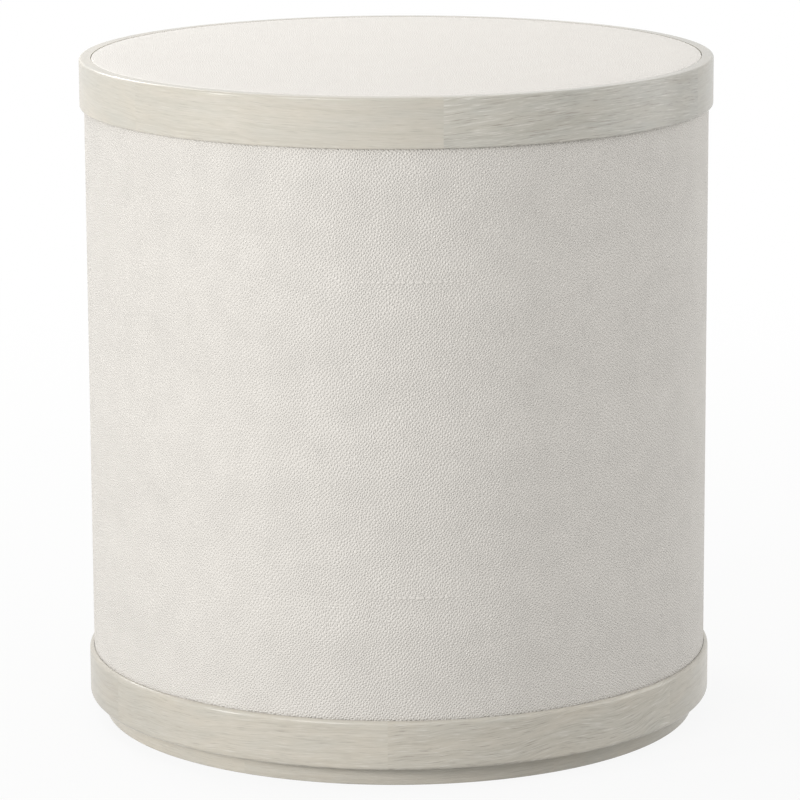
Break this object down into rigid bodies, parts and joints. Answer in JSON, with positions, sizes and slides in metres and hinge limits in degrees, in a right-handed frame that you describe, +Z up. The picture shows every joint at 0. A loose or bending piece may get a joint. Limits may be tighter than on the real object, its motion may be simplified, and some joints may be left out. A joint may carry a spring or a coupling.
{
  "type": "drum side table",
  "caption": "Round drum side table: leather-clad cylinder between proud oak bands, flush leather top, recessed plinth with hidden screw levellers.",
  "frame": {"origin": "on the floor under the drum's axis, at the plinth's underside", "axes": "+Z up along the drum's axis; the front faces -Y and the leather's seam is at +Y"},
  "size_m": [0.56, 0.56, 0.592],
  "materials": {
    "limed_oak": "limed, open-pored, matt lacquer",
    "birch_plywood": "bare, sanded",
    "pine": "bare, planed",
    "beech": "bare, planed",
    "hardboard": "smooth face",
    "embossed_leather": "pebbled emboss, satin",
    "zinc_plated_steel": "bright zinc",
    "nylon": "moulded"
  },
  "bodies": {
    "carcass": {"upper_band_segment_1": "limed_oak", "upper_band_segment_2": "limed_oak", "upper_band_segment_3": "limed_oak", "upper_band_segment_4": "limed_oak", "upper_band_segment_5": "limed_oak", "upper_band_segment_6": "limed_oak", "lower_band_segment_1": "limed_oak", "lower_band_segment_2": "limed_oak", "lower_band_segment_3": "limed_oak", "lower_band_segment_4": "limed_oak", "lower_band_segment_5": "limed_oak", "lower_band_segment_6": "limed_oak", "plinth_segment_1": "limed_oak", "plinth_segment_2": "limed_oak", "plinth_segment_3": "limed_oak", "plinth_segment_4": "limed_oak", "plinth_segment_5": "limed_oak", "plinth_segment_6": "limed_oak", "drum_shell_front": "birch_plywood", "drum_shell_back": "birch_plywood", "upper_bulkhead": "birch_plywood", "middle_former": "birch_plywood", "lower_bulkhead": "birch_plywood", "top_board": "birch_plywood", "upright_1": "pine", "upright_2": "pine", "upright_3": "pine", "upright_4": "pine", "upright_5": "pine", "upright_6": "pine", "upper_band_splines": "beech", "lower_band_splines": "beech", "plinth_splines": "beech", "leveller_block_1": "beech", "leveller_block_2": "beech", "leveller_block_3": "beech", "leveller_block_4": "beech", "dust_cover": "hardboard", "top_leather": "embossed_leather", "drum_leather": "embossed_leather", "top_screws": "zinc_plated_steel", "upright_screws": "zinc_plated_steel", "lower_band_screws": "zinc_plated_steel", "plinth_screws": "zinc_plated_steel", "block_screws": "zinc_plated_steel", "dust_cover_screws": "zinc_plated_steel", "tee_nuts": "zinc_plated_steel"},
    "leveller_1": {"leveller_stem_1": "zinc_plated_steel", "leveller_pad_1": "nylon"},
    "leveller_2": {"leveller_stem_2": "zinc_plated_steel", "leveller_pad_2": "nylon"},
    "leveller_3": {"leveller_stem_3": "zinc_plated_steel", "leveller_pad_3": "nylon"},
    "leveller_4": {"leveller_stem_4": "zinc_plated_steel", "leveller_pad_4": "nylon"}
  },
  "joints": [
    {"name": "leveller_1_screw", "type": "slide", "parent": "carcass", "child": "leveller_1", "axis": [0, 0, -1], "range_m": [0, 0.01]},
    {"name": "leveller_2_screw", "type": "slide", "parent": "carcass", "child": "leveller_2", "axis": [0, 0, -1], "range_m": [0, 0.01]},
    {"name": "leveller_3_screw", "type": "slide", "parent": "carcass", "child": "leveller_3", "axis": [0, 0, -1], "range_m": [0, 0.01]},
    {"name": "leveller_4_screw", "type": "slide", "parent": "carcass", "child": "leveller_4", "axis": [0, 0, -1], "range_m": [0, 0.01]}
  ]
}
